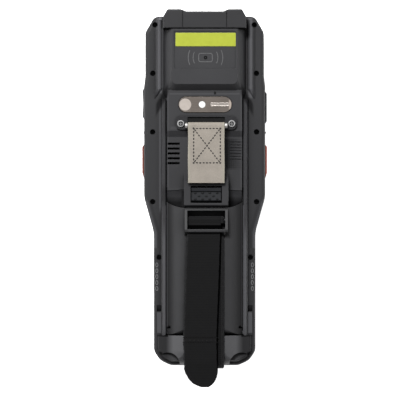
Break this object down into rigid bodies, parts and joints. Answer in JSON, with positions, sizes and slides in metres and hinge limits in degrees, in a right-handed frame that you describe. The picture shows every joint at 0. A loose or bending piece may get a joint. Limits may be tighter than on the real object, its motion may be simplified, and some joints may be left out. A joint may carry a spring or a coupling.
{
  "type": "portable barcode data terminal",
  "caption": "Rugged handheld barcode terminal lying on its display, with a hinged battery cover, a latch, a hand strap and a stitched leather tab.",
  "frame": {"origin": "middle of the bounding box at the front rim's plane", "axes": "+Y towards the scanning end, +Z towards the back with the strap, +X to the right seen from the back"},
  "size_m": [0.0702, 0.2104, 0.0324],
  "materials": {
    "housing_plastic": "fine matt texture",
    "cap_plastic": "satin",
    "cover_plastic": "satin",
    "latch_plastic": "satin",
    "black_plastic": "matt",
    "black_steel": "black oxide",
    "bright_steel": "brushed",
    "contact_brass": "gold plated",
    "camera_metal": "anodised brown grey",
    "lens_glass": "coated",
    "diffuser_white": "milky",
    "window_red": "dark red, clear",
    "display_glass": "polished",
    "display_tray": "stamped",
    "label_yellow": "satin film",
    "board_green": "solder mask",
    "battery_wrap": "satin wrap",
    "seal_rubber": "matt",
    "key_rubber": "matt",
    "grip_rubber": "dimpled",
    "scan_orange": "satin",
    "tab_leather": "warm grey, stitched",
    "strap_webbing": "black hook and loop webbing"
  },
  "bodies": {
    "housing": {"front_housing": "housing_plastic", "rear_housing": "housing_plastic", "housing_gasket": "seal_rubber", "housing_screws": "black_steel", "scanner_cap": "cap_plastic", "scan_window": "window_red", "scan_engine": "black_plastic", "bottom_cap": "cap_plastic", "grip_pads": "grip_rubber", "label_plate": "label_yellow", "camera_plate": "camera_metal", "camera_lens": "lens_glass", "flash_lens": "diffuser_white", "camera_module": "black_plastic", "speaker": "black_plastic", "strap_bracket": "black_steel", "strap_bar": "bright_steel", "bracket_screws": "bright_steel", "cover_hinge_pin": "bright_steel", "battery_pack": "battery_wrap", "battery_contacts": "contact_brass", "strap_foot_bar": "bright_steel", "usb_port": "bright_steel", "display_glass": "display_glass", "display_module": "display_tray", "keypad_mat": "key_rubber", "main_board": "board_green", "dock_contacts": "contact_brass"},
    "battery_cover": {"battery_cover": "cover_plastic", "strap_pin": "bright_steel", "hand_strap": "strap_webbing", "strap_flap": "strap_webbing"},
    "battery_latch": {"battery_latch": "latch_plastic", "latch_spring": "bright_steel"},
    "leather_tab": {"leather_tab": "tab_leather"},
    "scan_button_left": {"scan_button_left": "scan_orange"},
    "scan_button_right": {"scan_button_right": "scan_orange"},
    "volume_key": {"volume_key": "key_rubber"},
    "port_flap": {"port_flap": "key_rubber"},
    "key_escape": {"key_escape": "key_rubber"},
    "key_scan": {"key_scan": "scan_orange"},
    "key_enter": {"key_enter": "key_rubber"},
    "key_nav_ok": {"key_nav_ok": "key_rubber"},
    "key_nav_up": {"key_nav_up": "key_rubber"},
    "key_nav_down": {"key_nav_down": "key_rubber"},
    "key_nav_left": {"key_nav_left": "key_rubber"},
    "key_nav_right": {"key_nav_right": "key_rubber"},
    "key_1": {"key_1": "key_rubber"},
    "key_2": {"key_2": "key_rubber"},
    "key_3": {"key_3": "key_rubber"},
    "key_4": {"key_4": "key_rubber"},
    "key_5": {"key_5": "key_rubber"},
    "key_6": {"key_6": "key_rubber"},
    "key_7": {"key_7": "key_rubber"},
    "key_8": {"key_8": "key_rubber"},
    "key_9": {"key_9": "key_rubber"},
    "key_star": {"key_star": "key_rubber"},
    "key_0": {"key_0": "key_rubber"},
    "key_hash": {"key_hash": "key_rubber"}
  },
  "joints": [
    {"name": "anchor_tab_swing", "type": "hinge", "parent": "housing", "child": "leather_tab", "pos_m": [0.0009, 0.0403, 0.0293], "axis": [-1, 0, 0], "range_deg": [0, 140]},
    {"name": "battery_cover_hinge", "type": "hinge", "parent": "housing", "child": "battery_cover", "pos_m": [0, -0.0721, 0.0244], "axis": [1, 0, 0], "range_deg": [0, 70], "deforming": ["hand_strap", "strap_flap"]},
    {"name": "battery_latch_slide", "type": "slide", "parent": "housing", "child": "battery_latch", "axis": [0, 1, 0], "range_m": [0, 0.001], "stiffness_N_per_m": 400, "deforming": ["latch_spring"]},
    {"name": "button_scan_left", "type": "slide", "parent": "housing", "child": "scan_button_left", "axis": [1, 0, 0], "range_m": [0, 0.0008], "stiffness_N_per_m": 500},
    {"name": "button_scan_right", "type": "slide", "parent": "housing", "child": "scan_button_right", "axis": [-1, 0, 0], "range_m": [0, 0.0008], "stiffness_N_per_m": 500},
    {"name": "button_volume", "type": "hinge", "parent": "housing", "child": "volume_key", "pos_m": [-0.032, 0.0531, 0.01575], "axis": [0, 0, 1], "range_deg": [-2.5, 2.5], "stiffness_Nm_per_rad": 0.05},
    {"name": "flap_port", "type": "hinge", "parent": "housing", "child": "port_flap", "pos_m": [0.0349, 0.042, 0.01575], "axis": [0, 0, -1], "range_deg": [0, 110]},
    {"name": "key_escape_press", "type": "slide", "parent": "housing", "child": "key_escape", "axis": [0, 0, 1], "range_m": [0, 0.0005], "stiffness_N_per_m": 500},
    {"name": "key_scan_press", "type": "slide", "parent": "housing", "child": "key_scan", "axis": [0, 0, 1], "range_m": [0, 0.0005], "stiffness_N_per_m": 500},
    {"name": "key_enter_press", "type": "slide", "parent": "housing", "child": "key_enter", "axis": [0, 0, 1], "range_m": [0, 0.0005], "stiffness_N_per_m": 500},
    {"name": "key_nav_ok_press", "type": "slide", "parent": "housing", "child": "key_nav_ok", "axis": [0, 0, 1], "range_m": [0, 0.0005], "stiffness_N_per_m": 500},
    {"name": "key_nav_up_press", "type": "slide", "parent": "housing", "child": "key_nav_up", "axis": [0, 0, 1], "range_m": [0, 0.0005], "stiffness_N_per_m": 500},
    {"name": "key_nav_down_press", "type": "slide", "parent": "housing", "child": "key_nav_down", "axis": [0, 0, 1], "range_m": [0, 0.0005], "stiffness_N_per_m": 500},
    {"name": "key_nav_left_press", "type": "slide", "parent": "housing", "child": "key_nav_left", "axis": [0, 0, 1], "range_m": [0, 0.0005], "stiffness_N_per_m": 500},
    {"name": "key_nav_right_press", "type": "slide", "parent": "housing", "child": "key_nav_right", "axis": [0, 0, 1], "range_m": [0, 0.0005], "stiffness_N_per_m": 500},
    {"name": "key_1_press", "type": "slide", "parent": "housing", "child": "key_1", "axis": [0, 0, 1], "range_m": [0, 0.0005], "stiffness_N_per_m": 500},
    {"name": "key_2_press", "type": "slide", "parent": "housing", "child": "key_2", "axis": [0, 0, 1], "range_m": [0, 0.0005], "stiffness_N_per_m": 500},
    {"name": "key_3_press", "type": "slide", "parent": "housing", "child": "key_3", "axis": [0, 0, 1], "range_m": [0, 0.0005], "stiffness_N_per_m": 500},
    {"name": "key_4_press", "type": "slide", "parent": "housing", "child": "key_4", "axis": [0, 0, 1], "range_m": [0, 0.0005], "stiffness_N_per_m": 500},
    {"name": "key_5_press", "type": "slide", "parent": "housing", "child": "key_5", "axis": [0, 0, 1], "range_m": [0, 0.0005], "stiffness_N_per_m": 500},
    {"name": "key_6_press", "type": "slide", "parent": "housing", "child": "key_6", "axis": [0, 0, 1], "range_m": [0, 0.0005], "stiffness_N_per_m": 500},
    {"name": "key_7_press", "type": "slide", "parent": "housing", "child": "key_7", "axis": [0, 0, 1], "range_m": [0, 0.0005], "stiffness_N_per_m": 500},
    {"name": "key_8_press", "type": "slide", "parent": "housing", "child": "key_8", "axis": [0, 0, 1], "range_m": [0, 0.0005], "stiffness_N_per_m": 500},
    {"name": "key_9_press", "type": "slide", "parent": "housing", "child": "key_9", "axis": [0, 0, 1], "range_m": [0, 0.0005], "stiffness_N_per_m": 500},
    {"name": "key_star_press", "type": "slide", "parent": "housing", "child": "key_star", "axis": [0, 0, 1], "range_m": [0, 0.0005], "stiffness_N_per_m": 500},
    {"name": "key_0_press", "type": "slide", "parent": "housing", "child": "key_0", "axis": [0, 0, 1], "range_m": [0, 0.0005], "stiffness_N_per_m": 500},
    {"name": "key_hash_press", "type": "slide", "parent": "housing", "child": "key_hash", "axis": [0, 0, 1], "range_m": [0, 0.0005], "stiffness_N_per_m": 500}
  ]
}
